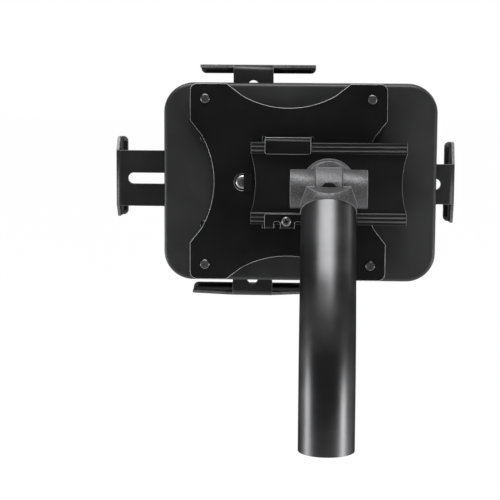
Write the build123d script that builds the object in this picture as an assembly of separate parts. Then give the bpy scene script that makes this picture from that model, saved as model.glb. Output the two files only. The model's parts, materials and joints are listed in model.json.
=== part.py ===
from build123d import *
import os
from math import atan2, cos, degrees, radians, sin, sqrt

# Tablet holder on the bent end of a pole, seen from the rear along +Y.
# Millimetres. +X right, +Z up, +Y from the pole towards the case.
# The origin is the centre of the pole's lower end.

# Gaps of screws and washers, and how far joined or cut solids reach past a face
snug_gap = 0.05
loose_gap = 0.1
overlap = 0.5
past = 1.0
pick = 0.01

# Pole
pole_r = 16.0
pole_wall = 2.0
pole_foot = 24.0
pole_bend = 120.0
pole_lean = 36.0
pole_top = 42.0
plug_length = 22.0
plug_gap = 0.1
plug_chamfer = 1.0
plug_thread_r = 4.25
plug_thread_depth = 16.0

# Fork cast on the pole's upper end
collar_r = 16.4
tilt_reach = 16.0
fork_width = 45.0
fork_slot = 16.0
ear_r = 11.4
crown_rise = 2.4
crown_slope = 17.5
spigot_length = 26.0
spigot_gap = 0.1
seam_width = 0.6
seam_height = 0.25
relief_gap = 0.3
fork_screw_drops = (8.0, 18.0)
fork_screw_r = 1.9
fork_screw_length = 9.0
fork_screw_head_r = 3.4
fork_screw_head = 1.6
fork_screw_key = 2.5

# Tilt joint
tilt_down = 15.0
tilt_spare = 2.0
tilt_shank_r = 3.5
tilt_running = 0.05
tilt_head_r = 5.2
tilt_head = 4.5
tilt_head_sunk = 0.4
tilt_key = 4.0
tilt_key_depth = 2.6
tilt_tip_x = 5.0
tilt_washer_r = 9.0
tilt_washer = 1.0
tilt_washer_gap = 0.05

# Knuckle and swivel
knuckle_gap = 0.3
knuckle_r = 11.4
neck_drop = 7.0
boss_reach = 13.2
boss_top = 15.2
boss_arch_r = 9.7
boss_height = 3.0
boss_round = 0.5
flange_r = 16.3
flange_thickness = 3.9
flange_step_r = 14.9
flange_step = 1.2
flange_round = 0.4
swivel_washer_r = 16.4
swivel_washer = 1.2
swivel_bolt_r = 3.0
swivel_running = 0.06
swivel_head_r = 4.4
swivel_head = 5.0
swivel_head_sunk = 13.0
swivel_recess_r = 4.65
swivel_key = 4.0
swivel_key_depth = 2.6
swivel_nut_r = 8.0
swivel_nut = 2.0
swivel_nut_flats = 13.6
swivel_spring_r = 7.0
swivel_spring = 0.5
face_gap = 0.05

# Rail, whose middle lies a little above the swivel's axis
head_drop = 1.0
rail_length = 93.0
rail_height = 49.0
strip_height = 6.8
strip_depth = 7.85
web_recess = 2.0
web_thickness = 2.5
rail_end_arc = 2.7
rail_round = 0.6
groove_width = 0.5
groove_depth = 0.4
groove_spacing = 2.4

# Adapter plate, which slides on the rail
slide_gap = 0.15
slide_rest = -24.4
plate_size = 118.0
plate_thickness = 2.0
plate_corner = 4.2
waist_start = 37.0
waist_line_x = 28.1
waist_line_drop = 6.9
waist_depth = 14.4
waist_round = 1.5
hook_width = 27.4
hook_gap = 0.4
hook_corner = 1.4
hook_relief = 1.6
hook_window = 19.0
hook_window_round = 1.0
clip_foot = 5.6
clip_tongue = 8.6
clip_notch_top = 2.4
clip_notch_round = 1.0
clip_screw_r = 1.5
clip_head_r = 2.85
clip_head = 1.7
clip_head_round = 0.9
clip_screw_gap = 0.02
clip_cross = (3.2, 0.8)
clip_cross_turn = 20.0
clip_cross_floor = 0.5
clip_screw_drop = 22.3
clip_screw_x = -0.6
vesa_pitch = 100.0
vesa_hole_r = 1.7
vesa_shank_r = 1.5
vesa_head_r = 2.75
vesa_head = 1.6
vesa_head_round = 0.4
vesa_key = 2.5
vesa_key_depth = 1.3
vesa_length = 12.0
vesa_sink = 0.7
vesa_sink_gap = 0.25

# Case
case_left_gap = 27.2
case_right_gap = 8.6
case_end_gap = 7.8
case_depth = 14.0
case_offset = 7.0
case_drop = 0.6
case_corner = 17.5
case_edge = 2.4
case_wall = 2.2
cover_thickness = 2.0
cover_edge = 0.8
cover_screw_inset = 13.5
cover_head_r = 2.8
cover_shank_r = 1.45
cover_hole_gap = 0.15
cover_screw_length = 8.5
pad_stand = 3.0
pad_r = 5.5
boss_wall_r = 4.2
front_pad_size = (34.0, 12.0)
front_pad_thickness = 2.0
front_pad_inset_x = 36.0
front_pad_inset_z = 26.0
front_pad_corner = 3.0
front_pad_round = 0.7

# Sheet steel arms
sheet = 1.8
bend_r = 3.6
lip_bend_r = 2.6
lip_length = 5.4
lip_corner = 3.0
tongue_lift = 3.5
slot_width = 6.6
left_slot_margin = 7.7
right_slot_margin = 8.6
top_slot_margin = 9.0
bottom_slot_margin = 7.6
arm_tail = 3.2
arm_travel = 20.0
held_thickness = 7.5
held_gap = 0.5
arm_pad = 1.0
lip_pad = 0.6
flare_depth = 6.5
arm_pad_inset = 0.8
arm_pad_start = 1.5
lip_pad_start = 0.2
lip_pad_end = 0.5
arm_play = 0.3
tongue_corner = 3.0
side_opening = 200.2
end_opening = 135.0
left_tongue = 34.0
left_wing = 7.4
left_rise = 1.5
right_tongue = 24.4
right_wing = 12.3
right_rise = -0.6
end_tongue = 24.2
end_wing_long = 25.4
end_wing_short = 20.8
end_arm_inset = 53.7

# Guides and clamp screws inside the case
guide_width = 12.0
guide_thickness = 1.5
guide_gap = 0.15
guide_overhang = 5.3
guide_end = 4.2
guide_corner = 3.2
left_guide_inset = 25.0
left_guide_span = 26.5
right_guide_inset = 34.0
end_guide_inset = 26.0
guide_screw_r = 1.5
guide_head_r = 3.0
guide_head = 1.8
guide_head_round = 0.8
small_key = 2.0
small_key_depth = 1.0
screw_end_gap = 0.5
left_slot_screw = 7.7
right_slot_screw = 10.5
end_slot_screw = 10.5
pillar_r = 3.1
slot_washer_r = 5.2
slot_washer = 1.0
rib_width = 1.6
rib_inset = 3.0
rib_length = 22.0

# Key lock that pins the left arm
lock_inset = 47.9
lock_r = 4.6
lock_proud = 0.4
lock_hole_gap = 0.45
lock_edge = 2.2
lock_front = 3.0
lock_collar_r = 6.4
lock_collar = 1.6
lock_body_inside = 2.7
lock_nut_r = 7.4
lock_nut = 1.8
plug_r = 3.4
plug_neck_r = 1.9
plug_sunk = 0.5
plug_running = 0.05
plug_end_gap = 0.4
key_slot = (0.9, 3.0)
key_depth = 3.0
guard_size = (5.0, 10.6)
guard_thickness = 0.8
guard_offset = 0.7
guard_gap = 0.05
guard_corner = 0.6
bolt_r = 2.0
bolt_hole_r = 2.5
bolt_length = 6.0
bolt_rest_gap = 0.6
bolt_bore_gap = 0.2
bolt_round = 0.5
notch_pitch = 22.0 / 3.0
notch_first = -1
notch_last = 3

# Places worked out from the sizes above
lean = radians(pole_lean)
rim_y = pole_bend * (1 - cos(lean)) + pole_top * sin(lean)
rim_z = pole_foot + pole_bend * sin(lean) + pole_top * cos(lean)
tilt_y = rim_y + tilt_reach * sin(lean)
tilt_z = rim_z + tilt_reach * cos(lean)
ear_front_y = tilt_y - ear_r
boss_y = tilt_y + boss_reach
flange_y = boss_y + boss_height
washer_y = flange_y + flange_thickness
web_y = washer_y + swivel_washer + face_gap
web_back_y = web_y + web_thickness
strip_y = web_y - web_recess
strip_back_y = strip_y + strip_depth
plate_y = strip_back_y + slide_gap
plate_back_y = plate_y + plate_thickness
case_y = plate_back_y + pad_stand
case_inside_y = case_y + case_wall
cover_y = case_y + case_depth - cover_thickness
front_y = case_y + case_depth
tongue_y = case_inside_y + tongue_lift
tongue_front_y = tongue_y + sheet
guide_y = tongue_front_y + guide_gap
rest_y = front_y + front_pad_thickness
lip_y = rest_y + held_thickness + held_gap + lip_pad
arm_depth = lip_y + sheet - tongue_y
mid_z = tilt_z + head_drop
case_z = mid_z - case_drop
left_arm_z = case_z + left_rise
right_arm_z = case_z + right_rise
case_width = side_opening - case_left_gap - case_right_gap
case_height = end_opening - 2 * case_end_gap
case_x = slide_rest + case_offset
case_left_x = case_x - case_width / 2
case_right_x = case_x + case_width / 2
left_wall_x = case_left_x - case_left_gap - sheet - arm_pad
right_wall_x = case_right_x + case_right_gap + sheet + arm_pad
end_wall_z = end_opening / 2 + sheet + arm_pad
end_arm_x = case_left_x + end_arm_inset
lock_x = case_left_x + lock_inset
left_guide_x = case_left_x + left_guide_inset
left_slot_x = case_left_x + left_slot_screw
right_slot_x = case_right_x - right_slot_screw
end_slot_z = case_height / 2 - end_slot_screw
rail_half = rail_height / 2
strip_inner = rail_half - strip_height
hook_inner = rail_half + hook_gap
hook_outer = hook_inner + plate_thickness
hook_lip_y = strip_y - hook_gap
hook_front_y = hook_lip_y - plate_thickness
left_length = lock_x - left_wall_x + notch_pitch * notch_last + bolt_hole_r + arm_tail
long_chord = left_length + 2 * case_width


def slab(outline, near, far):
    """Solid between two depths, from an outline drawn with X across and Z up."""
    back = Plane(origin=(0, far, 0), x_dir=(1, 0, 0), z_dir=(0, -1, 0))
    return extrude(back * outline, amount=far - near)


def bar(outline, left, right):
    """Solid between two values of X, from an outline drawn with Y across and Z up."""
    side = Plane(origin=(left, 0, 0), x_dir=(0, 1, 0), z_dir=(1, 0, 0))
    return extrude(side * outline, amount=right - left)


def rod(radius, x, z, near, far):
    """Round bar along Y."""
    return slab(Pos(x, z) * Circle(radius), near, far)


def tube_ring(outer, inner, x, z, near, far):
    """Round bar along Y with a hole."""
    return slab(Pos(x, z) * (Circle(outer) - Circle(inner)), near, far)


def axle(radius, left, right):
    """Round bar along X on the tilt axis."""
    return bar(Pos(tilt_y, tilt_z) * Circle(radius), left, right)


def hexagon(across):
    """Hexagon of a width across its flats."""
    return RegularPolygon(across / 2, 6, major_radius=False)


def blunt(solid, axis, radius, ends):
    """Round the edges of the flat faces at the chosen ends of an axis."""
    faces = solid.faces().filter_by(axis).sort_by(axis)
    return fillet([edge for end in ends for edge in faces[end].edges()], radius)


def edge_arc(half, sagitta):
    """Radius of an arc from half of its chord and its height."""
    return (half * half + sagitta * sagitta) / (2 * sagitta)


def pole_place(distance):
    """Frame on the pole's upper straight, Z along the pole, X across, counted from its end."""
    start = (0, rim_y + distance * sin(lean), rim_z + distance * cos(lean))
    return Plane(origin=start, x_dir=(1, 0, 0), z_dir=(0, sin(lean), cos(lean)))


def fork_screw_place(distance):
    """Frame on the pole's axis below its upper end, Z out of the pole's hidden side."""
    origin = pole_place(-distance).origin
    return Plane(origin=origin, x_dir=(1, 0, 0), z_dir=(0, cos(lean), -sin(lean)))


def fork_screw_bar(distance, radius):
    """Round bar of a fork screw, from inside the spigot to the pole's surface."""
    start = fork_screw_place(distance).offset(pole_r - fork_screw_length)
    return extrude(start * Circle(radius), amount=fork_screw_length)


def make_pole_tube():
    """Round tube: upright foot, bend and leaning top."""
    bend_start = (0, 0, pole_foot)
    bend_end = (0, pole_bend * (1 - cos(lean)), pole_foot + pole_bend * sin(lean))
    foot = Line((0, 0, 0), bend_start)
    curve = TangentArc(bend_start, bend_end, tangent=(0, 0, 1))
    top = Line(bend_end, (0, rim_y, rim_z))
    ring = Circle(pole_r) - Circle(pole_r - pole_wall)
    tube = sweep(Plane.XY * ring, path=foot + curve + top)
    for distance in fork_screw_drops:
        start = fork_screw_place(distance).offset(pole_r - 2 * pole_wall)
        tube = tube - extrude(start * Circle(fork_screw_r + loose_gap), amount=3 * pole_wall)
    return tube


def make_pole_end_plug():
    """Steel plug flush with the pole's lower end, with a threaded hole."""
    body = Cylinder(pole_r - pole_wall - plug_gap, plug_length,
                    align=(Align.CENTER, Align.CENTER, Align.MIN))
    body = chamfer(body.faces().sort_by(Axis.Z)[-1].edges(), plug_chamfer)
    hole = Cylinder(plug_thread_r, plug_thread_depth,
                    align=(Align.CENTER, Align.CENTER, Align.MIN))
    return body - hole


def make_pole_fork():
    """Cast fitting: spigot, collar and the two ears of the tilt joint."""
    low = tilt_z - ear_r
    back = tilt_y + ear_r
    ears = axle(ear_r, -fork_width / 2, fork_width / 2)

    reach = tilt_reach + 2 * ear_r
    base = pole_place(0)
    collar = extrude(base * Circle(collar_r), amount=reach)
    far = 4 * pole_r
    behind = Pos(0, tilt_y + far / 2, low + past + far / 2) * Box(far, far, far)
    collar = collar - behind
    slope = Rot(crown_slope, 0, 0) * Pos(0, 0, far / 2) * Box(2 * far, 2 * far, far)
    collar = collar - Pos(0, ear_front_y, tilt_z + crown_rise) * slope
    seam = base * (Pos(0, -(collar_r + seam_height) / 2, reach / 2)
                   * Box(seam_width, collar_r + seam_height, reach - 2 * past))
    seam = seam - behind - Pos(0, ear_front_y, tilt_z + crown_rise) * slope
    fork = ears + collar + seam

    tool = Pos(tilt_y, tilt_z) * Circle(knuckle_r + knuckle_gap)
    fork = fork - bar(tool, -fork_slot / 2, fork_slot / 2)
    sweep_r = sqrt(boss_reach ** 2 + neck_drop ** 2) + relief_gap
    rear = bar(Pos(tilt_y, tilt_z) * Circle(sweep_r), -fork_slot / 2, fork_slot / 2)
    turn = Rot(-tilt_down - tilt_spare, 0, 0)
    keep = Pos(0, tilt_y, tilt_z) * turn * Pos(0, far / 2, 0) * Box(far, far, 2 * far)
    fork = fork - (rear & keep)
    upper = Pos(0, back, tilt_z + far / 2) * Box(fork_slot, 4 * ear_r, far)
    fork = fork - upper
    clear = boss_reach - relief_gap
    beyond = Pos(0, tilt_y, tilt_z) * turn * Pos(0, clear + far / 2, 0) * Box(far, far, 2 * far)
    fork = fork - beyond

    fork = fork - extrude(base * Circle(pole_r + spigot_gap), amount=-2 * ear_r)
    spigot = extrude(base * Circle(pole_r - pole_wall - spigot_gap), amount=-spigot_length)
    fork = fork + spigot
    for distance in fork_screw_drops:
        fork = fork - fork_screw_bar(distance, fork_screw_r + snug_gap)
    fork = fork - axle(tilt_shank_r + tilt_running, -fork_width, fork_width)
    for side in (-1, 1):
        outer = side * fork_width / 2
        inner = side * (fork_width / 2 - tilt_head)
        fork = fork - axle(tilt_head_r, min(outer, inner), max(outer, inner))
        face = side * fork_slot / 2
        floor = side * (fork_slot / 2 + tilt_washer - (knuckle_gap - tilt_washer_gap))
        fork = fork - axle(tilt_washer_r + loose_gap, min(face, floor), max(face, floor))
    return fork


def make_tilt_screw(side):
    """Shoulder screw through one ear, with its tip in the knuckle."""
    outer = side * (fork_width / 2 - tilt_head_sunk)
    seat = side * (fork_width / 2 - tilt_head)
    tip = side * tilt_tip_x
    head = axle(tilt_head_r - loose_gap, min(outer, seat), max(outer, seat))
    shank = axle(tilt_shank_r, min(seat, tip), max(seat, tip))
    floor = side * (fork_width / 2 - tilt_head_sunk - tilt_key_depth)
    key = bar(Pos(tilt_y, tilt_z) * hexagon(tilt_key), min(outer, floor), max(outer, floor))
    return head + shank - key


def make_tilt_washer(side):
    """Friction washer let into one ear."""
    floor = fork_slot / 2 + tilt_washer - (knuckle_gap - tilt_washer_gap)
    near = side * floor
    face = side * (floor - tilt_washer)
    ring = Circle(tilt_washer_r) - Circle(tilt_shank_r + loose_gap)
    return bar(Pos(tilt_y, tilt_z) * ring, min(near, face), max(near, face))


def make_fork_screw(distance):
    """Screw on the hidden side of the pole that holds the fork's spigot."""
    out = fork_screw_place(distance).offset(pole_r)
    head = extrude(out * Circle(fork_screw_head_r), amount=fork_screw_head)
    key = extrude(out.offset(fork_screw_head / 3) * hexagon(fork_screw_key), amount=fork_screw_head)
    return head + fork_screw_bar(distance, fork_screw_r) - key


def make_knuckle():
    """Tilting knuckle: barrel between the ears, neck, arched boss and stepped flange."""
    half = fork_slot / 2 - knuckle_gap
    barrel = bar(Pos(tilt_y, tilt_z) * Circle(knuckle_r), -half, half)
    reach = boss_reach + overlap
    neck_height = knuckle_r + neck_drop
    neck = Pos(0, tilt_y + reach / 2, tilt_z + (knuckle_r - neck_drop) / 2)
    neck = neck * Box(2 * half, reach, neck_height)
    arch = Pos(0, tilt_z) * SlotOverall(2 * boss_top, 2 * boss_arch_r, rotation=90)
    boss = blunt(slab(arch, boss_y, flange_y + overlap), Axis.Y, boss_round, [0])
    step = rod(flange_step_r, 0, tilt_z, flange_y, flange_y + flange_step + overlap)
    step = blunt(step, Axis.Y, flange_round, [0])
    flange = rod(flange_r, 0, tilt_z, flange_y + flange_step, washer_y)
    flange = blunt(flange, Axis.Y, flange_round, [0])
    knuckle = barrel + neck + boss + step + flange
    front = tilt_y - knuckle_r - past
    seat = tilt_y - knuckle_r + swivel_head_sunk + swivel_head
    knuckle = knuckle - rod(swivel_recess_r, 0, tilt_z, front, seat)
    knuckle = knuckle - rod(swivel_bolt_r + loose_gap, 0, tilt_z, seat, washer_y + past)
    return knuckle - axle(tilt_shank_r + tilt_running, -fork_width, fork_width)


def make_swivel_bolt():
    """Bolt of the swivel, its head deep in the knuckle."""
    top = tilt_y - knuckle_r + swivel_head_sunk
    seat = top + swivel_head
    end = web_back_y + swivel_spring + 2 * face_gap + swivel_nut
    bolt = rod(swivel_head_r, 0, tilt_z, top, seat) + rod(swivel_bolt_r, 0, tilt_z, seat, end)
    return bolt - slab(Pos(0, tilt_z) * hexagon(swivel_key), top, top + swivel_key_depth)


def make_swivel_nut():
    """Thin round nut with two flats, behind the rail."""
    start = web_back_y + swivel_spring + 2 * face_gap
    nut = tube_ring(swivel_nut_r, swivel_bolt_r + snug_gap, 0, tilt_z, start, start + swivel_nut)
    flats = Pos(0, start + swivel_nut / 2, tilt_z)
    return nut & flats * Box(2 * swivel_nut_r, swivel_nut, swivel_nut_flats)


def make_rail():
    """Extruded rail: grooved strips along its edges and a sunk web between them."""
    web = Pos(web_y + web_thickness / 2, mid_z) * Rectangle(web_thickness, rail_height - 2 * past)
    section = web
    for side in (-1, 1):
        middle = mid_z + side * (rail_half - strip_height / 2)
        strip = Pos(strip_y + strip_depth / 2, middle) * Rectangle(strip_depth, strip_height)
        section = section + strip
    corners = section.vertices().filter_by_position(Axis.X, strip_y - pick, strip_y + pick)
    section = fillet(corners, rail_round)
    for side in (-1, 1):
        middle = mid_z + side * (rail_half - strip_height / 2)
        for step in (-0.5, 0.5):
            groove = Pos(strip_y, middle + step * groove_spacing)
            section = section - groove * Rectangle(2 * groove_depth, groove_width)
    rail = bar(section, -rail_length / 2, rail_length / 2)
    radius = edge_arc(strip_inner, rail_end_arc)
    for side in (-1, 1):
        centre = side * (rail_length / 2 - rail_end_arc + radius)
        bite = rod(radius, centre, mid_z, strip_y - past, strip_back_y + past)
        band = Pos(centre, (strip_y + strip_back_y) / 2, mid_z)
        band = band * Box(2 * radius, 2 * strip_depth, 2 * strip_inner)
        rail = rail - (bite & band)
    hole = rod(swivel_bolt_r + swivel_running, 0, tilt_z, web_y - past, web_back_y + past)
    return rail - hole


def plate_outline():
    """X-shaped outline: a square with a shallow bay in each side."""
    half = plate_size / 2
    outline = Rectangle(plate_size, plate_size)
    outline = fillet(outline.vertices(), plate_corner)
    bay_r = edge_arc(waist_line_x, waist_depth - waist_line_drop)
    corner = (waist_start, half)
    knee = (waist_line_x, half - waist_line_drop)
    apex = (0, half - waist_depth)
    down = Line(corner, knee)
    curve = RadiusArc(knee, (-knee[0], knee[1]), bay_r)
    if abs(curve.position_at(0.5).Y - apex[1]) > waist_depth / 2:
        curve = RadiusArc(knee, (-knee[0], knee[1]), -bay_r)
    up = Line((-knee[0], knee[1]), (-corner[0], corner[1]))
    lid = Polyline((-corner[0], half), (-corner[0], half + past), (corner[0], half + past), corner)
    bay = make_face(down + curve + up + lid)
    for turn in range(4):
        outline = outline - Rot(0, 0, 90 * turn) * bay
    sharp = [v for v in outline.vertices()
             if abs(max(abs(v.X), abs(v.Y)) - half) < pick
             and abs(min(abs(v.X), abs(v.Y)) - waist_start) < pick]
    return fillet(sharp, waist_round)


def vesa_places():
    """Centres of the four screws that hold the case on the plate."""
    half = vesa_pitch / 2
    return [(slide_rest + x, mid_z + z) for x in (-half, half) for z in (-half, half)]


def left_guide_places():
    """Centres of the two screws of the left guide."""
    return [(left_guide_x, mid_z + side * left_guide_span) for side in (-1, 1)]


def make_adapter_plate():
    """Stamped plate with a lanced hook above the rail and a lanced clip below it."""
    plate = slab(Pos(slide_rest, mid_z) * plate_outline(), plate_y, plate_back_y)
    half = hook_width / 2
    for sign in (1, -1):
        middle = sign * (hook_inner - hook_window / 2)
        window = Rectangle(hook_width + 2 * hook_relief, hook_window)
        window = fillet(window.vertices(), hook_window_round)
        window = Pos(slide_rest, mid_z + middle) * window
        plate = plate - slab(window, plate_y - past, plate_back_y + past)
        for end in (-1, 1):
            x = slide_rest + end * (half + hook_relief / 2)
            z = mid_z + sign * (hook_inner + hook_relief / 2)
            slit = Pos(x, z) * Rectangle(hook_relief, plate_thickness + hook_relief)
            plate = plate - slab(slit, plate_y - past, plate_back_y + past)

    depth = plate_back_y - hook_front_y
    wall = Pos(hook_front_y + depth / 2, mid_z + (hook_inner + hook_outer) / 2)
    wall = wall * Rectangle(depth, plate_thickness)
    drop = hook_outer - strip_inner
    lip = Pos(hook_front_y + plate_thickness / 2, mid_z + hook_outer - drop / 2)
    lip = lip * Rectangle(plate_thickness, drop)
    profile = wall + lip
    outer = profile.vertices().sort_by(Axis.X)[:2].sort_by(Axis.Y)[-1]
    profile = fillet(outer, plate_thickness)
    hook = bar(profile, slide_rest - half, slide_rest + half)
    tips = hook.edges().filter_by(Axis.Y).filter_by_position(
        Axis.Z, mid_z + strip_inner - pick, mid_z + strip_inner + pick)
    hook = fillet(tips, hook_corner)

    clip = mirror(bar(profile, slide_rest - half, slide_rest + half),
                  about=Plane(origin=(0, 0, mid_z), z_dir=(0, 0, 1)))
    tips = clip.edges().filter_by(Axis.Y).filter_by_position(
        Axis.Z, mid_z - strip_inner - pick, mid_z - strip_inner + pick)
    clip = fillet(tips, hook_corner)
    open_half = half - clip_foot
    bottom = mid_z - hook_outer
    gap_middle = Pos(slide_rest, hook_lip_y + depth / 2, bottom + plate_thickness / 2)
    clip = clip - gap_middle * Box(2 * open_half, depth, 2 * plate_thickness)
    notch_top = bottom + plate_thickness + clip_notch_top
    for end in (-1, 1):
        inner = clip_tongue / 2
        width = open_half - inner
        x = slide_rest + end * (inner + width / 2)
        notch = Pos(x, (notch_top + bottom) / 2) * Rectangle(width, notch_top - bottom)
        notch = fillet(notch.vertices().sort_by(Axis.Y)[-2:], clip_notch_round)
        clip = clip - slab(notch, hook_front_y - past, hook_lip_y)
        low = Pos(x, bottom) * Rectangle(width, 2 * overlap)
        clip = clip - slab(low, hook_front_y - past, hook_lip_y)
    clip = clip - rod(clip_screw_r, slide_rest + clip_screw_x, mid_z - clip_screw_drop,
                      hook_front_y - past, hook_lip_y + past)
    plate = plate + hook + clip

    for x, z in vesa_places():
        plate = plate - rod(vesa_hole_r, x, z, plate_y - past, plate_back_y + past)
        plate = plate - rod(vesa_head_r + vesa_sink_gap, x, z, plate_y - past, plate_y + vesa_sink)
    lock = rod(lock_r + lock_hole_gap, lock_x, mid_z, plate_y - past, plate_back_y + past)
    return plate - lock


def make_clip_screw():
    """Pan screw with a cross recess; its tip presses on the rail to hold the slide."""
    x = slide_rest + clip_screw_x
    z = mid_z - clip_screw_drop
    head = rod(clip_head_r, x, z, hook_front_y - clip_head, hook_front_y)
    head = blunt(head, Axis.Y, clip_head_round, [0])
    shank = rod(clip_screw_r - clip_screw_gap, x, z, hook_front_y, strip_y - face_gap)
    long, narrow = clip_cross
    cross = Rectangle(long, narrow) + Rectangle(narrow, long)
    cross = Pos(x, z) * Rot(0, 0, clip_cross_turn) * cross
    recess = slab(cross, hook_front_y - clip_head, hook_front_y - clip_cross_floor)
    return head + shank - recess


def make_vesa_screw(x, z):
    """Socket screw through the plate into the case."""
    top = plate_y + vesa_sink - vesa_head
    head = blunt(rod(vesa_head_r, x, z, top, plate_y + vesa_sink), Axis.Y, vesa_head_round, [0])
    shank = rod(vesa_shank_r, x, z, plate_y + vesa_sink, plate_y + vesa_sink + vesa_length)
    key = slab(Pos(x, z) * hexagon(vesa_key), top, top + vesa_key_depth)
    return head + shank - key


def case_outline(inset):
    """Rounded rectangle of the case, drawn smaller by an inset."""
    outline = RectangleRounded(case_width - 2 * inset, case_height - 2 * inset, case_corner - inset)
    return Pos(case_x, case_z) * outline


def cover_screw_places():
    """Centres of the four screws of the front cover."""
    left = (case_left_x + slide_rest - vesa_pitch / 2) / 2
    right = case_right_x - cover_screw_inset
    height = case_height / 2 - cover_screw_inset
    return [(x, case_z + z * height) for x in (left, right) for z in (-1, 1)]


def arm_frames():
    """Frame of each arm: X outward, Z towards the front, origin on its outer face."""
    left = Plane(origin=(left_wall_x, tongue_y, left_arm_z), x_dir=(-1, 0, 0), z_dir=(0, 1, 0))
    right = Plane(origin=(right_wall_x, tongue_y, right_arm_z),
                  x_dir=(1, 0, 0), z_dir=(0, 1, 0))
    top = Plane(origin=(end_arm_x, tongue_y, case_z + end_wall_z), x_dir=(0, 0, 1), z_dir=(0, 1, 0))
    bottom = Plane(origin=(end_arm_x, tongue_y, case_z - end_wall_z),
                   x_dir=(0, 0, -1), z_dir=(0, 1, 0))
    return {"left": left, "right": right, "top": top, "bottom": bottom}


def arm_sizes():
    """Tongue width, wings each side, tongue length and both ends of the slot, for each arm."""
    left_slot = left_slot_x + pillar_r + arm_play + notch_pitch * notch_last - left_wall_x
    right_slot = right_wall_x - right_slot_x + pillar_r + arm_play + arm_travel
    end_slot = end_wall_z - end_slot_z + pillar_r + arm_play + arm_travel
    right_length = right_slot + arm_tail
    ends = (end_tongue, end_wing_short, end_wing_long, end_slot + arm_tail, end_slot)
    return {
        "left": (left_tongue, left_wing, left_wing, left_length, left_slot, left_slot_margin),
        "right": (right_tongue, right_wing, right_wing, right_length, right_slot, right_slot_margin),
        "top": (*ends, top_slot_margin),
        "bottom": (*ends, bottom_slot_margin),
    }


def wing_mask(tongue, low_wing, high_wing, inset):
    """Outline of an arm across its width: tongue, flare and full width at the wall."""
    half = tongue / 2
    low = -half - low_wing + inset
    high = half + high_wing - inset
    flare_top = bend_r + flare_depth
    outline = Polygon(
        (-half + inset, -past), (half - inset, -past), (half - inset, bend_r),
        (high, flare_top), (high, arm_depth + past), (low, arm_depth + past),
        (low, flare_top), (-half + inset, bend_r), align=None)
    across = Plane(origin=(past, 0, 0), x_dir=(0, 1, 0), z_dir=(1, 0, 0))
    return extrude(across * outline, amount=-2 * long_chord)


def make_arm(sizes):
    """Sheet arm: tongue with a slot, bend, flared wall and a lip at the front."""
    tongue, low_wing, high_wing, length, slot_end, slot_margin = sizes
    width = tongue + 2 * max(low_wing, high_wing) + 2 * past
    plan = Plane(origin=(0, width / 2, 0), x_dir=(1, 0, 0), z_dir=(0, -1, 0))
    profile = Polygon(
        (-length, 0), (0, 0), (0, arm_depth), (-lip_length, arm_depth),
        (-lip_length, arm_depth - sheet), (-sheet, arm_depth - sheet),
        (-sheet, sheet), (-length, sheet), align=None)
    bends = [(0, 0, bend_r), (-sheet, sheet, bend_r - sheet),
             (0, arm_depth, lip_bend_r), (-sheet, arm_depth - sheet, lip_bend_r - sheet)]
    for x, y, radius in bends:
        corner = [v for v in profile.vertices() if abs(v.X - x) < pick and abs(v.Y - y) < pick]
        profile = fillet(corner, radius)
    arm = extrude(plan * profile, amount=width) & wing_mask(tongue, low_wing, high_wing, 0)
    upright = arm.edges().filter_by(Axis.Z)
    tips = upright.filter_by_position(Axis.X, -lip_length - pick, -lip_length + pick)
    tips = tips.filter_by_position(Axis.Z, arm_depth - sheet, arm_depth)
    arm = fillet(tips, lip_corner)
    ends = arm.edges().filter_by(Axis.Z).filter_by_position(Axis.X, -length - pick, -length + pick)
    arm = fillet(ends, tongue_corner)
    slot_length = slot_end - slot_margin
    slot = Pos(-slot_margin - slot_length / 2, 0) * SlotOverall(slot_length, slot_width)
    return arm - extrude(slot, amount=2 * sheet)


def make_left_arm():
    """Left arm with a row of holes for the bolt of the lock."""
    arm = make_arm(arm_sizes()["left"])
    for step in range(notch_first, notch_last + 1):
        reach = lock_x + step * notch_pitch - left_wall_x
        hole = Pos(-reach, mid_z - left_arm_z) * Circle(bolt_hole_r)
        arm = arm - extrude(hole, amount=2 * sheet)
    return arm_frames()["left"] * arm


def make_arm_pads(name):
    """Rubber strips glued to the wall and the lip of one arm."""
    tongue, low_wing, high_wing = arm_sizes()[name][:3]
    width = tongue + 2 * max(low_wing, high_wing)
    mask = wing_mask(tongue, low_wing, high_wing, arm_pad_inset)
    start = bend_r + arm_pad_start
    end = arm_depth - lip_bend_r
    wall = Pos(-sheet - arm_pad / 2, 0, (start + end) / 2) * Box(arm_pad, width, end - start)
    lip_near = lip_bend_r + lip_pad_start
    lip_far = lip_length - lip_pad_end
    level = arm_depth - sheet - lip_pad / 2
    low = -tongue / 2 - low_wing + lip_corner
    high = tongue / 2 + high_wing - lip_corner
    lip = Pos(-(lip_near + lip_far) / 2, (low + high) / 2, level)
    lip = lip * Box(lip_far - lip_near, high - low, lip_pad)
    frame = arm_frames()[name]
    return [frame * (wall & mask), frame * lip]


def guide_screw_places(name):
    """Centres of the two screws of the guide of the right, top or bottom arm."""
    if name == "right":
        reach = right_tongue / 2 + guide_overhang
        x = right_wall_x - right_guide_inset
        return [(x, right_arm_z + side * reach) for side in (-1, 1)]
    reach = end_tongue / 2 + guide_overhang
    sign = 1 if name == "top" else -1
    z = case_z + sign * (end_wall_z - end_guide_inset - end_slot_screw)
    return [(end_arm_x + side * reach, z) for side in (-1, 1)]


def slot_screw_places():
    """Centres of the clamp screws in the slots of the arms."""
    return {
        "left": (left_slot_x, left_arm_z),
        "right": (right_slot_x, right_arm_z),
        "top": (end_arm_x, case_z + end_slot_z),
        "bottom": (end_arm_x, case_z - end_slot_z),
    }


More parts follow.
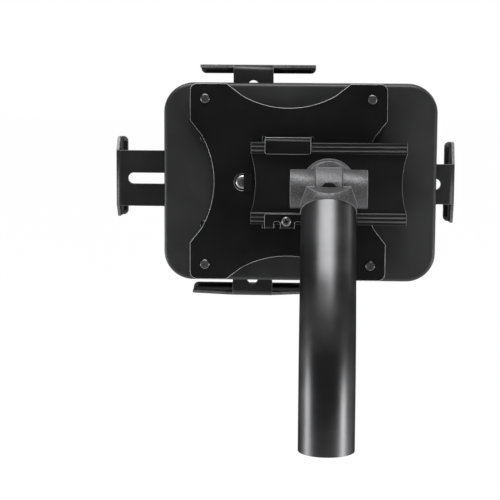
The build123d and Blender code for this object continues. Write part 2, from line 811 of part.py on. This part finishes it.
def make_guide(places):
    """Flat steel bar over a tongue, with a screw hole near each end."""
    (x0, z0), (x1, z1) = places
    span = sqrt((x1 - x0) ** 2 + (z1 - z0) ** 2)
    turn = degrees(atan2(z1 - z0, x1 - x0))
    bar_face = RectangleRounded(span + 2 * guide_end, guide_width, guide_corner)
    for side in (-1, 1):
        bar_face = bar_face - Pos(side * span / 2, 0) * Circle(guide_screw_r + loose_gap)
    placed = Pos((x0 + x1) / 2, (z0 + z1) / 2) * Rot(0, 0, turn) * bar_face
    return slab(placed, guide_y, guide_y + guide_thickness)


def make_rear_shell():
    """Rear pan of the case: side walls, plate pads, pillars, ribs and arm windows."""
    shell = slab(case_outline(0), case_y, cover_y)
    shell = blunt(shell, Axis.Y, case_edge, [0])
    inside = slab(case_outline(case_wall), case_inside_y, cover_y + past)
    shell = shell - inside
    for x, z in vesa_places():
        shell = shell + rod(pad_r, x, z, plate_back_y, case_y + past)
        shell = shell + rod(boss_wall_r, x, z, case_inside_y - past, guide_y)
        shell = shell - rod(vesa_shank_r + snug_gap, x, z, plate_back_y - past, guide_y + past)
    for x, z in cover_screw_places():
        shell = shell + rod(boss_wall_r, x, z, case_inside_y - past, cover_y)
        shell = shell - rod(cover_shank_r + snug_gap, x, z, cover_y - cover_screw_length, cover_y + past)
    for x, z in left_guide_places():
        shell = shell + rod(boss_wall_r, x, z, case_inside_y - past, guide_y)
        shell = shell - rod(guide_screw_r + snug_gap, x, z, case_y - past, guide_y + past)
    for name in ("right", "top", "bottom"):
        for x, z in guide_screw_places(name):
            shell = shell + rod(boss_wall_r, x, z, case_inside_y - past, guide_y)
            shell = shell - rod(guide_screw_r + snug_gap, x, z, case_inside_y, guide_y + past)
    for x, z in slot_screw_places().values():
        shell = shell + rod(pillar_r, x, z, case_inside_y - past, guide_y)
        shell = shell - rod(guide_screw_r + snug_gap, x, z, case_inside_y, guide_y + past)
    walls = {"left": case_left_x - left_wall_x, "right": right_wall_x - case_right_x,
             "top": end_wall_z - case_height / 2, "bottom": end_wall_z - case_height / 2}
    sizes = arm_sizes()
    for name, frame in arm_frames().items():
        tongue = sizes[name][0]
        reach = walls[name] + case_wall
        window = Box(reach + 2 * past, tongue + 2 * arm_play, sheet + 2 * arm_play)
        window = frame * (Pos(-reach / 2, 0, sheet / 2) * window)
        shell = shell - (window - inside)
        for side in (-1, 1):
            rib = Box(rib_length, rib_width, tongue_lift - loose_gap)
            middle = Pos(overlap - reach - rib_length / 2, side * (tongue / 2 - rib_inset),
                         -(tongue_lift + loose_gap) / 2)
            shell = shell + frame * (middle * rib)
    hole = rod(lock_r + snug_gap, lock_x, mid_z, case_y - past, case_inside_y + past)
    return shell - hole


def make_front_cover():
    """Flat cover that closes the front of the case."""
    cover = slab(case_outline(0), cover_y, front_y)
    cover = blunt(cover, Axis.Y, cover_edge, [-1])
    for x, z in cover_screw_places():
        cover = cover - rod(cover_shank_r + cover_hole_gap, x, z, cover_y - past, front_y + past)
        cover = cover - countersink(x, z, cover_head_r + loose_gap)
    return cover


def countersink(x, z, radius):
    """Cone of a countersunk head, flush with the front of the cover."""
    height = radius - cover_shank_r
    cone = Cone(cover_shank_r, radius, height, align=(Align.CENTER, Align.CENTER, Align.MAX))
    place = Plane(origin=(x, front_y, z), x_dir=(1, 0, 0), z_dir=(0, 1, 0))
    return place * cone


def make_cover_screw(x, z):
    """Countersunk screw of the front cover."""
    tip = cover_y - cover_screw_length + screw_end_gap
    shank = rod(cover_shank_r, x, z, tip, front_y - overlap)
    head = countersink(x, z, cover_head_r)
    key = slab(Pos(x, z) * hexagon(small_key), front_y - small_key_depth, front_y)
    return head + shank - key


def make_front_pad(x, z):
    """Rubber rest on the front cover."""
    outline = RectangleRounded(front_pad_size[0], front_pad_size[1], front_pad_corner)
    across = case_width / 2 - front_pad_inset_x
    height = case_height / 2 - front_pad_inset_z
    pad = slab(Pos(case_x + x * across, case_z + z * height) * outline, front_y, rest_y)
    return blunt(pad, Axis.Y, front_pad_round, [-1])


def make_left_guide_screw(x, z):
    """Pan screw from the rear of the case into the left guide."""
    top = case_y - guide_head
    head = blunt(rod(guide_head_r, x, z, top, case_y), Axis.Y, guide_head_round, [0])
    shank = rod(guide_screw_r, x, z, case_y, guide_y + guide_thickness)
    key = slab(Pos(x, z) * hexagon(small_key), top, top + small_key_depth)
    return head + shank - key


def make_inner_screw(x, z, seat):
    """Pan screw from the front, with its head on a seat inside the case."""
    top = seat + guide_head
    head = blunt(rod(guide_head_r, x, z, seat, top), Axis.Y, guide_head_round, [-1])
    shank = rod(guide_screw_r, x, z, case_inside_y + screw_end_gap, seat)
    key = slab(Pos(x, z) * hexagon(small_key), top - small_key_depth, top)
    return head + shank - key


def make_lock_cylinder():
    """Body of the key lock: domed front, collar and stepped bore."""
    face = plate_y - lock_proud
    end = case_inside_y + lock_body_inside
    body = blunt(rod(lock_r, lock_x, mid_z, face, end), Axis.Y, lock_edge, [0])
    body = body + rod(lock_collar_r, lock_x, mid_z, case_y - lock_collar, case_y)
    body = body - rod(plug_neck_r + plug_running, lock_x, mid_z, face - past, end)
    return body - rod(plug_r + plug_running, lock_x, mid_z, face + lock_front, end + past)


def make_lock_plug():
    """Turning plug of the lock: neck with a key slot, shoulder and a bore for the bolt."""
    face = plate_y - lock_proud + plug_sunk
    shoulder = plate_y - lock_proud + lock_front + plug_running
    end = case_inside_y + lock_body_inside - plug_end_gap
    plug = rod(plug_neck_r, lock_x, mid_z, face, end) + rod(plug_r, lock_x, mid_z, shoulder, end)
    slot = slab(Pos(lock_x, mid_z) * Rectangle(*key_slot), face - past, face + key_depth)
    bore_end = end - bolt_length - bolt_bore_gap
    return plug - slot - rod(bolt_r + plug_running, lock_x, mid_z, bore_end, end + past)


def make_lock_guard():
    """Flat guard on the plate beside the key slot, over half of the lock's rim."""
    width, height = guard_size
    middle = Pos(lock_x + guard_offset + width / 2, mid_z)
    guard = slab(middle * RectangleRounded(width, height, guard_corner), plate_y - guard_thickness, plate_y)
    floor = plate_y - lock_proud - guard_gap
    pocket = rod(lock_r + lock_hole_gap, lock_x, mid_z, floor, plate_y + past)
    return guard - pocket


def make_lock_bolt():
    """Pin that the plug drives into the left arm."""
    end = tongue_y - bolt_rest_gap
    pin = rod(bolt_r, lock_x, mid_z, end - bolt_length, end)
    return blunt(pin, Axis.Y, bolt_round, [-1])


def make_lock_nut():
    """Ring nut of the lock, inside the case."""
    ring = hexagon(2 * lock_nut_r * cos(radians(30))) - Circle(lock_r + snug_gap)
    return slab(Pos(lock_x, mid_z) * ring, case_inside_y, case_inside_y + lock_nut)


def make_parts():
    """All pieces by name; a list holds like pieces of one node."""
    guide_seat = guide_y + guide_thickness
    slot_seat = guide_y + slot_washer
    frames = arm_frames()
    sizes = arm_sizes()
    slots = slot_screw_places().values()
    parts = {
        "pole_tube": make_pole_tube(),
        "pole_end_plug": make_pole_end_plug(),
        "pole_fork": make_pole_fork(),
        "fork_screws": [make_fork_screw(distance) for distance in fork_screw_drops],
        "tilt_screws": [make_tilt_screw(side) for side in (-1, 1)],
        "tilt_washers": [make_tilt_washer(side) for side in (-1, 1)],
        "swivel_knuckle": make_knuckle(),
        "swivel_washer": tube_ring(swivel_washer_r, swivel_bolt_r + loose_gap, 0, tilt_z,
                                   washer_y, washer_y + swivel_washer),
        "swivel_bolt": make_swivel_bolt(),
        "swivel_spring_washer": tube_ring(swivel_spring_r, swivel_bolt_r + loose_gap, 0, tilt_z,
                                          web_back_y + face_gap, web_back_y + face_gap + swivel_spring),
        "swivel_nut": make_swivel_nut(),
        "rail": make_rail(),
        "adapter_plate": make_adapter_plate(),
        "clip_screw": make_clip_screw(),
        "case_screws": [make_vesa_screw(x, z) for x, z in vesa_places()],
        "rear_shell": make_rear_shell(),
        "front_cover": make_front_cover(),
        "cover_screws": [make_cover_screw(x, z) for x, z in cover_screw_places()],
        "front_pads": [make_front_pad(x, z) for x in (-1, 1) for z in (-1, 1)],
        "left_guide": make_guide(left_guide_places()),
        "left_guide_screws": [make_left_guide_screw(x, z) for x, z in left_guide_places()],
        "slot_washers": [tube_ring(slot_washer_r, guide_screw_r + loose_gap, x, z, guide_y, slot_seat)
                         for x, z in slots],
        "slot_screws": [make_inner_screw(x, z, slot_seat) for x, z in slots],
        "lock_cylinder": make_lock_cylinder(),
        "lock_nut": make_lock_nut(),
        "lock_guard": make_lock_guard(),
        "lock_plug": make_lock_plug(),
        "lock_bolt": make_lock_bolt(),
        "left_arm": make_left_arm(),
        "left_arm_pads": make_arm_pads("left"),
    }
    screws = []
    for name in ("right", "top", "bottom"):
        places = guide_screw_places(name)
        parts[name + "_guide"] = make_guide(places)
        parts[name + "_arm"] = frames[name] * make_arm(sizes[name])
        parts[name + "_arm_pads"] = make_arm_pads(name)
        screws += [make_inner_screw(x, z, guide_seat) for x, z in places]
    parts["guide_screws"] = screws
    return parts


def write_parts():
    """Write one STEP file for each piece."""
    os.makedirs("parts", exist_ok=True)
    for name, shape in make_parts().items():
        solids = shape if isinstance(shape, list) else [shape]
        solids = [solid for item in solids for solid in item.solids()]
        whole = solids[0] if len(solids) == 1 else Compound(children=solids)
        export_step(whole, f"parts/{name}.step")


write_parts()
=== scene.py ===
import bpy
import json
from math import radians, cos, sin
from mathutils import Matrix, Vector


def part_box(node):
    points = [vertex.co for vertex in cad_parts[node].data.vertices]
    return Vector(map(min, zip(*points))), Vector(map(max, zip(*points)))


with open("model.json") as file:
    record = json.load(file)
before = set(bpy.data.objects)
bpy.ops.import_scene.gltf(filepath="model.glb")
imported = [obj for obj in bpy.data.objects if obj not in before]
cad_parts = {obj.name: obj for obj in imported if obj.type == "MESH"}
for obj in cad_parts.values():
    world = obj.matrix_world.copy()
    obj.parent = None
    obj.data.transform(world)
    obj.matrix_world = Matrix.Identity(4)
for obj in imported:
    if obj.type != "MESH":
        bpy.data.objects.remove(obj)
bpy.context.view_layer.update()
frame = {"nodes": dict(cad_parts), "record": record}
nodes = frame["nodes"]

# Camera: place and turn fitted to the photograph's view, in metres and radians
CAM_PLACE = (-0.004339, -0.884167, 0.231629)
CAM_YAW = -0.044033
CAM_PITCH = 0.133543
CAM_ROLL = 0.005353
CAM_FOCAL_PX = 1618.53
PICTURE_PX = 500
SENSOR_MM = 36.0
CAM_REACH = 100.0

# Noise textures: features per metre and detail
CLOUDS = (28.0, 4.0)
METAL_CLOUDS = (60.0, 3.0)
METAL_MARKS = (6.0, 6.0)
MARK_STRETCH = (30.0, 30.0, 600.0)
RUBBER_CLOUDS = (40.0, 4.0)
RUBBER_GRAIN = 1500.0
FLOOR_CLOUDS = (2.0, 2.0)
GRAIN_DETAIL = 2.0
FLAKE_SCALE = 3200.0
FLAKE_RANGE = (0.55, 0.9)

# Darkest and palest grey of rubbed edges, of screw surroundings, of the painted shade in the cross recess
# and of the floor
RUBBED = (0.06, 0.2)
RUBBED_RANGE = (0.3, 0.7)
SURROUND = (0.003, 0.006)
RECESS_SHADE = (0.004, 0.02)
FLOOR_TINT = (0.84, 0.88)

# Shares of a value between which it strays, depth of the bumps and lean of rear faces
COAT_STRAY = (0.88, 1.12)
METAL_STRAY = (0.75, 1.3)
METAL_DARKEST = 0.8
RUBBER_STRAY = (0.8, 1.3)
BUMP_DEPTH = 0.0001
REAR_LEAN = -0.45

# Rubber and floor surfaces
RUBBER_ROUGH = 0.75
RUBBER_SPECULAR = 0.3
RUBBER_BUMP = 0.3
FLOOR_ROUGH = 0.9

# Sockets of the mix node that carry its share, its two colours and the result
MIX_SHARE, MIX_FIRST, MIX_SECOND, MIX_RESULT = 0, 6, 7, 2

# Edge rounding: lengths in metres, angles in degrees
WELD_REACH = 0.000002
FLAT_ANGLE = 0.5
SHARP_ANGLE = 40.0
EDGE_SEGMENTS = 2

# Places on the part from which some finishes change, in metres
SCREW_HEAD_R = 0.00275
SCREW_SURROUND = 0.0045
TONGUE_DEPTH = 0.0025
RECESS_DEPTH = 0.0006

# Floor and world
FLOOR_SIZE = 14.0
FLOOR_PLACE = (0.0, 6.2, -0.5)
FLOOR_GLOW = 0.9
FLOOR_LIFT = 0.08
WORLD_DIM = 0.15
WORLD_WHITE_FROM = 0.7
WORLD_WHITE_FULL = 0.98

# Lamps: power for each unit of radiance and area, then place, target, size and radiance
LAMP_POWER = 4.0
HEAD = (0.0, 0.03, 0.1)
FOOT = (0.0, 0.0, 0.03)
LAMPS = {
    "overhead": ((-0.16, -0.41, 1.53), HEAD, (1.5, 0.8), 7.5),
    "left_box": ((-1.29, -0.16, -0.26), FOOT, (0.5, 0.6), 7.5),
    "right_box": ((1.18, -0.44, -0.34), FOOT, (0.4, 0.6), 12.0),
    "right_rim": ((1.09, 0.74, 0.85), HEAD, (0.3, 0.6), 8.0),
}


def add_camera():
    """Camera at the fitted place, turned by yaw, pitch and roll."""
    forward = Vector((sin(CAM_YAW) * cos(CAM_PITCH), cos(CAM_YAW) * cos(CAM_PITCH), -sin(CAM_PITCH)))
    level = Vector((cos(CAM_YAW), -sin(CAM_YAW), 0.0))
    upward = level.cross(forward)
    right = cos(CAM_ROLL) * level + sin(CAM_ROLL) * upward
    up = -sin(CAM_ROLL) * level + cos(CAM_ROLL) * upward
    turn = Matrix((right, up, -forward)).transposed()
    data = bpy.data.cameras.new("camera")
    data.sensor_width = SENSOR_MM
    data.lens = SENSOR_MM * CAM_FOCAL_PX / PICTURE_PX
    data.clip_end = CAM_REACH
    camera = bpy.data.objects.new("camera", data)
    bpy.context.scene.collection.objects.link(camera)
    camera.matrix_world = Matrix.Translation(CAM_PLACE) @ turn.to_4x4()
    bpy.context.scene.camera = camera


add_camera()
bpy.context.scene.view_settings.view_transform = "Standard"


# Helpers for node trees; each returns the output socket that carries its result
def grey(value):
    """Neutral colour of a value."""
    return (value, value, value, 1.0)


def feed(tree, value, socket):
    """Links an output to a socket, or sets the socket if the value is a number."""
    if isinstance(value, (int, float)):
        socket.default_value = value
    else:
        tree.links.new(value, socket)


def noise(tree, coords, scale, detail, stretch=None):
    """Noise on object coordinates, which may be stretched."""
    node = tree.nodes.new("ShaderNodeTexNoise")
    node.inputs["Scale"].default_value = scale
    node.inputs["Detail"].default_value = detail
    source = coords.outputs["Object"]
    if stretch:
        mapping = tree.nodes.new("ShaderNodeMapping")
        mapping.inputs["Scale"].default_value = stretch
        tree.links.new(source, mapping.inputs["Vector"])
        source = mapping.outputs["Vector"]
    tree.links.new(source, node.inputs["Vector"])
    return node.outputs["Fac"]


def ramp(tree, source, low, high, span=(0.35, 0.65)):
    """Colour that runs from low to high, each given with or without its fourth value."""
    node = tree.nodes.new("ShaderNodeValToRGB")
    ends = node.color_ramp.elements
    ends[0].position, ends[1].position = span
    ends[0].color = low if len(low) == 4 else (*low, 1.0)
    ends[1].color = high if len(high) == 4 else (*high, 1.0)
    tree.links.new(source, node.inputs["Fac"])
    return node.outputs["Color"]


def arithmetic(tree, kind, first, second):
    """Result of one kind of arithmetic on two outputs or numbers."""
    node = tree.nodes.new("ShaderNodeMath")
    node.operation = kind
    feed(tree, first, node.inputs[0])
    feed(tree, second, node.inputs[1])
    return node.outputs[0]


def mixed(tree, share, first, second, blend="MIX"):
    """Mix of two colours by a share, which is an output or a number."""
    node = tree.nodes.new("ShaderNodeMix")
    node.data_type = "RGBA"
    node.blend_type = blend
    feed(tree, share, node.inputs[MIX_SHARE])
    tree.links.new(first, node.inputs[MIX_FIRST])
    tree.links.new(second, node.inputs[MIX_SECOND])
    return node.outputs[MIX_RESULT]


def mixed_shaders(tree, share, first, second):
    """Mix of two shaders by a share."""
    node = tree.nodes.new("ShaderNodeMixShader")
    feed(tree, share, node.inputs["Fac"])
    tree.links.new(first, node.inputs[1])
    tree.links.new(second, node.inputs[2])
    return node.outputs["Shader"]


def axes(tree, vector):
    """The three parts of a vector, by their names."""
    node = tree.nodes.new("ShaderNodeSeparateXYZ")
    tree.links.new(vector, node.inputs["Vector"])
    return node.outputs


def emission(tree, strength):
    """White glow of a strength."""
    node = tree.nodes.new("ShaderNodeEmission")
    feed(tree, strength, node.inputs["Strength"])
    return node.outputs["Emission"]


def background(tree, strength):
    """White background of a strength."""
    node = tree.nodes.new("ShaderNodeBackground")
    node.inputs["Color"].default_value = grey(1.0)
    node.inputs["Strength"].default_value = strength
    return node.outputs["Background"]


def mirrored_or_through(tree, rays):
    """1 where a reflected or transmitted ray looks."""
    return arithmetic(tree, "MAXIMUM", rays.outputs["Is Glossy Ray"], rays.outputs["Is Transmission Ray"])


def rear_faces_beyond(tree, coords, depth):
    """1 on faces that look to the rear and lie beyond a depth."""
    rear = arithmetic(tree, "LESS_THAN", axes(tree, coords.outputs["Normal"])["Y"], REAR_LEAN)
    beyond = arithmetic(tree, "GREATER_THAN", axes(tree, coords.outputs["Object"])["Y"], depth)
    return arithmetic(tree, "MULTIPLY", rear, beyond)


def near_screws(tree, coords, reach):
    """1 within reach of the axis of one of the four screws in a square pattern."""
    low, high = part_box("case_screws")
    place = axes(tree, coords.outputs["Object"])
    squares = []
    for index, axis in ((0, "X"), (2, "Z")):
        middle = (low[index] + high[index]) / 2
        half = (high[index] - low[index]) / 2 - SCREW_HEAD_R
        off = arithmetic(tree, "SUBTRACT", place[axis], middle)
        off = arithmetic(tree, "SUBTRACT", arithmetic(tree, "ABSOLUTE", off, 0.0), half)
        squares.append(arithmetic(tree, "MULTIPLY", off, off))
    return arithmetic(tree, "LESS_THAN", arithmetic(tree, "ADD", *squares), reach ** 2)


# Finishes
def new_material(name):
    """Material with a Principled shader; returns material, tree, shader and coordinates."""
    material = bpy.data.materials.new(name)
    material.use_nodes = True
    tree = material.node_tree
    tree.nodes.clear()
    out = tree.nodes.new("ShaderNodeOutputMaterial")
    shader = tree.nodes.new("ShaderNodeBsdfPrincipled")
    tree.links.new(shader.outputs["BSDF"], out.inputs["Surface"])
    return material, tree, shader, tree.nodes.new("ShaderNodeTexCoord")


def set_roughness(tree, shader, source, rough, stray):
    """Roughness that strays between two shares of its value."""
    polish = ramp(tree, source, grey(rough * stray[0]), grey(min(1.0, rough * stray[1])))
    tree.links.new(polish, shader.inputs["Roughness"])


def bump(tree, shader, height, strength):
    """Bumps from a height."""
    node = tree.nodes.new("ShaderNodeBump")
    node.inputs["Strength"].default_value = strength
    node.inputs["Distance"].default_value = BUMP_DEPTH
    tree.links.new(height, node.inputs["Height"])
    tree.links.new(node.outputs["Normal"], shader.inputs["Normal"])


def coated(name, colour, rough, metallic=0.0, cloud=0.25, peel=0.15, grain=900.0, sparkle=0.0,
           coat=0.0, coat_rough=0.2, specular=0.5, tint_at_edge=1.0, sheared=None,
           dark_near_screws=None):
    """Painted, powder coated or moulded surface: clouded colour, fine grain and soft peel.

    Sheet edges that face the rear beyond the depth of sheared show rubbed, paler metal, and
    within the reach of dark_near_screws the colour stays dark."""
    material, tree, shader, coords = new_material(name)
    broad = noise(tree, coords, *CLOUDS)
    fine = noise(tree, coords, grain, GRAIN_DETAIL)
    low = tuple(c * (1 - cloud) for c in colour)
    high = tuple(c * (1 + cloud) for c in colour)
    tint = ramp(tree, broad, low, high)
    if sparkle:
        flakes = tree.nodes.new("ShaderNodeTexVoronoi")
        flakes.inputs["Scale"].default_value = FLAKE_SCALE
        tree.links.new(coords.outputs["Object"], flakes.inputs["Vector"])
        spots = ramp(tree, flakes.outputs["Color"], grey(0.0), grey(sparkle), FLAKE_RANGE)
        tint = mixed(tree, 1.0, tint, spots, "ADD")
    if sheared:
        rubbed = ramp(tree, fine, *map(grey, RUBBED), RUBBED_RANGE)
        tint = mixed(tree, rear_faces_beyond(tree, coords, sheared), tint, rubbed)
    if dark_near_screws:
        dark = ramp(tree, fine, *map(grey, SURROUND))
        tint = mixed(tree, near_screws(tree, coords, dark_near_screws), tint, dark)
    tree.links.new(tint, shader.inputs["Base Color"])
    set_roughness(tree, shader, broad, rough, COAT_STRAY)
    shader.inputs["Metallic"].default_value = metallic
    shader.inputs["Specular IOR Level"].default_value = specular
    shader.inputs["Specular Tint"].default_value = grey(tint_at_edge)
    shader.inputs["Coat Weight"].default_value = coat
    shader.inputs["Coat Roughness"].default_value = coat_rough
    bump(tree, shader, fine, peel)
    return material


def worked_metal(name, colour, rough, strength=0.1, shaded_beyond=None):
    """Bare or plated metal with fine directional marks; rear-facing faces beyond a given depth get
    painted shade, a dark colour that stands in for the shadow in a recess.
    """
    material, tree, shader, coords = new_material(name)
    marks = noise(tree, coords, *METAL_MARKS, MARK_STRETCH)
    broad = noise(tree, coords, *METAL_CLOUDS)
    tint = ramp(tree, broad, tuple(c * METAL_DARKEST for c in colour), colour)
    if shaded_beyond:
        # Painted shade: rear-facing faces deep in the recess are coloured dark to stand in for its shadow
        recess_shade = ramp(tree, broad, *map(grey, RECESS_SHADE))
        tint = mixed(tree, rear_faces_beyond(tree, coords, shaded_beyond), tint, recess_shade)
    tree.links.new(tint, shader.inputs["Base Color"])
    set_roughness(tree, shader, marks, rough, METAL_STRAY)
    shader.inputs["Metallic"].default_value = 1.0
    bump(tree, shader, marks, strength)
    return material


def soft_rubber(name, level):
    """Matte rubber with a fine grain."""
    material, tree, shader, coords = new_material(name)
    broad = noise(tree, coords, *RUBBER_CLOUDS)
    fine = noise(tree, coords, RUBBER_GRAIN, GRAIN_DETAIL)
    tint = ramp(tree, broad, grey(level * RUBBER_STRAY[0]), grey(level * RUBBER_STRAY[1]))
    tree.links.new(tint, shader.inputs["Base Color"])
    shader.inputs["Roughness"].default_value = RUBBER_ROUGH
    shader.inputs["Specular IOR Level"].default_value = RUBBER_SPECULAR
    bump(tree, shader, fine, RUBBER_BUMP)
    return material


tongue_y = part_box("left_arm")[0][1]
cross_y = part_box("clip_screw")[0][1]
finishes = {
    "black_powder_coat": coated("black_powder_coat", (0.088, 0.088, 0.09), 0.37, metallic=1.0, peel=0.04,
                                grain=1200.0, tint_at_edge=0.3),
    "cast_dark_grey": coated("cast_dark_grey", (0.055, 0.055, 0.057), 0.44, metallic=0.4, peel=0.35,
                             grain=1500.0, sparkle=0.1),
    "black_coated_steel": coated("black_coated_steel", (0.012, 0.012, 0.0125), 0.4, peel=0.1,
                                 specular=0.45, sheared=tongue_y + TONGUE_DEPTH),
    "black_anodised": coated("black_anodised", (0.006, 0.006, 0.0064), 0.4, metallic=0.1, peel=0.06,
                             grain=1800.0, specular=0.4),
    "black_case": coated("black_case", (0.021, 0.0212, 0.0215), 0.5, peel=0.12, grain=1600.0,
                         specular=0.35, coat=0.15, coat_rough=0.12),
    "black_trim": coated("black_trim", (0.012, 0.012, 0.012), 0.45, peel=0.1),
    "plain_steel": worked_metal("plain_steel", (0.5, 0.5, 0.5), 0.32),
    "dark_screw": worked_metal("dark_screw", (0.05, 0.05, 0.052), 0.3),
    "bright_lock": worked_metal("bright_lock", (0.42, 0.42, 0.42), 0.36, strength=0.04),
    "black_rubber": soft_rubber("black_rubber", 0.015),
}
nodes_with_own_finish = {
    "adapter_plate": coated("black_plate", (0.004, 0.004, 0.0042), 0.42, peel=0.1, specular=0.27),
    # The knuckle gets a paler copy of the fork's cast finish, painted lighter to stand in for the light
    # its front faces catch
    "swivel_knuckle": coated("cast_grey_painted_lighter", (0.1, 0.1, 0.103), 0.58, metallic=0.3, peel=0.35,
                             grain=1500.0, sparkle=0.12),
    "lock_plug": finishes["bright_lock"],
    "lock_guard": coated("lock_black", (0.003, 0.003, 0.003), 0.5, specular=0.3),
    "case_screws": worked_metal("socket_screw", (0.3, 0.3, 0.303), 0.28),
    # The clip screw's cross recess gets painted shade
    "clip_screw": worked_metal("cross_screw", (0.33, 0.33, 0.33), 0.38, shaded_beyond=cross_y + RECESS_DEPTH),
}
for entry in frame["record"]["subparts"]:
    name = entry["node"]
    slots = nodes[name].data.materials
    slots.clear()
    slots.append(nodes_with_own_finish.get(name, finishes[entry["material_slot"]]))

# Small rounded edges in a pale finish that is partly wear and partly painted highlight, a pale colour
# that stands in for the light the edges catch
worn_edge_and_highlight = coated("worn_edge_and_highlight", (0.42, 0.42, 0.43), 0.45, cloud=0.4, peel=0.2,
                     dark_near_screws=SCREW_SURROUND)
# The softer edge finish is also partly wear and partly painted highlight
soft_worn_edge_and_highlight = coated("soft_worn_edge_and_highlight", (0.13, 0.13, 0.135), 0.45, cloud=0.4, peel=0.2)
eased_edges = {
    "left_arm": (0.0002, soft_worn_edge_and_highlight),
    "right_arm": (0.0002, soft_worn_edge_and_highlight),
    "top_arm": (0.0002, soft_worn_edge_and_highlight),
    "bottom_arm": (0.0002, soft_worn_edge_and_highlight),
    "adapter_plate": (0.00022, worn_edge_and_highlight),
    "rail": (0.0002, soft_worn_edge_and_highlight),
    "pole_fork": (0.0003, soft_worn_edge_and_highlight),
    "swivel_knuckle": (0.00025, soft_worn_edge_and_highlight),
}
for name, (width, wear_and_highlight) in eased_edges.items():
    piece = nodes[name]
    weld = piece.modifiers.new("weld", "WELD")
    weld.merge_threshold = WELD_REACH
    flat = piece.modifiers.new("flat", "DECIMATE")
    flat.decimate_type = "DISSOLVE"
    flat.angle_limit = radians(FLAT_ANGLE)
    bevel = piece.modifiers.new("bevel", "BEVEL")
    bevel.width = width
    bevel.segments = EDGE_SEGMENTS
    bevel.limit_method = "ANGLE"
    bevel.angle_limit = radians(SHARP_ANGLE)
    bevel.harden_normals = True
    bevel.use_clamp_overlap = False
    piece.data.materials.append(wear_and_highlight)
    bevel.material = 1


# Floor, world and lamps
def pale_floor():
    """Pale floor that is white to the eye and to reflections, with the shadows left in."""
    material, tree, shader, coords = new_material("pale_floor")
    tint = ramp(tree, noise(tree, coords, *FLOOR_CLOUDS), *map(grey, FLOOR_TINT))
    tree.links.new(tint, shader.inputs["Base Color"])
    shader.inputs["Roughness"].default_value = FLOOR_ROUGH
    rays = tree.nodes.new("ShaderNodeLightPath")
    seen = arithmetic(tree, "MAXIMUM", rays.outputs["Is Camera Ray"], mirrored_or_through(tree, rays))
    glowing = arithmetic(tree, "MULTIPLY", seen, FLOOR_GLOW)
    lifted = arithmetic(tree, "MULTIPLY", seen, FLOOR_LIFT)
    both = tree.nodes.new("ShaderNodeAddShader")
    blend = mixed_shaders(tree, glowing, shader.outputs["BSDF"], emission(tree, 1.0))
    tree.links.new(blend, both.inputs[0])
    tree.links.new(emission(tree, lifted), both.inputs[1])
    out = next(node for node in tree.nodes if node.type == "OUTPUT_MATERIAL")
    tree.links.new(both.outputs["Shader"], out.inputs["Surface"])
    return material


def add_world():
    """World that is white to the eye and in reflections on the backdrop's side, and dim elsewhere."""
    world = bpy.data.worlds.new("world")
    bpy.context.scene.world = world
    world.use_nodes = True
    sky = world.node_tree
    sky.nodes.clear()
    out = sky.nodes.new("ShaderNodeOutputWorld")
    rays = sky.nodes.new("ShaderNodeLightPath")
    direction = sky.nodes.new("ShaderNodeTexCoord")
    behind = sky.nodes.new("ShaderNodeMapRange")
    behind.interpolation_type = "SMOOTHSTEP"
    behind.inputs["From Min"].default_value = WORLD_WHITE_FROM
    behind.inputs["From Max"].default_value = WORLD_WHITE_FULL
    sky.links.new(axes(sky, direction.outputs["Generated"])["Y"], behind.inputs["Value"])
    reflected = arithmetic(sky, "MULTIPLY", mirrored_or_through(sky, rays), behind.outputs["Result"])
    seen = arithmetic(sky, "MAXIMUM", rays.outputs["Is Camera Ray"], reflected)
    choice = mixed_shaders(sky, seen, background(sky, WORLD_DIM), background(sky, 1.0))
    sky.links.new(choice, out.inputs["Surface"])


def add_lamp(name, place, target, size, radiance):
    """Rectangular soft lamp aimed at a point, its power from its radiance and area."""
    data = bpy.data.lights.new(name, "AREA")
    data.shape = "RECTANGLE"
    data.size, data.size_y = size
    data.energy = LAMP_POWER * radiance * size[0] * size[1]
    lamp = bpy.data.objects.new(name, data)
    bpy.context.scene.collection.objects.link(lamp)
    lamp.location = place
    aim = Vector(target) - Vector(place)
    lamp.rotation_euler = aim.to_track_quat("-Z", "Y").to_euler()


bpy.ops.mesh.primitive_plane_add(size=FLOOR_SIZE, location=FLOOR_PLACE)
floor = bpy.context.object
floor.name = "floor"
floor.data.materials.append(pale_floor())
add_world()
for name, (place, target, size, radiance) in LAMPS.items():
    add_lamp(name, place, target, size, radiance)
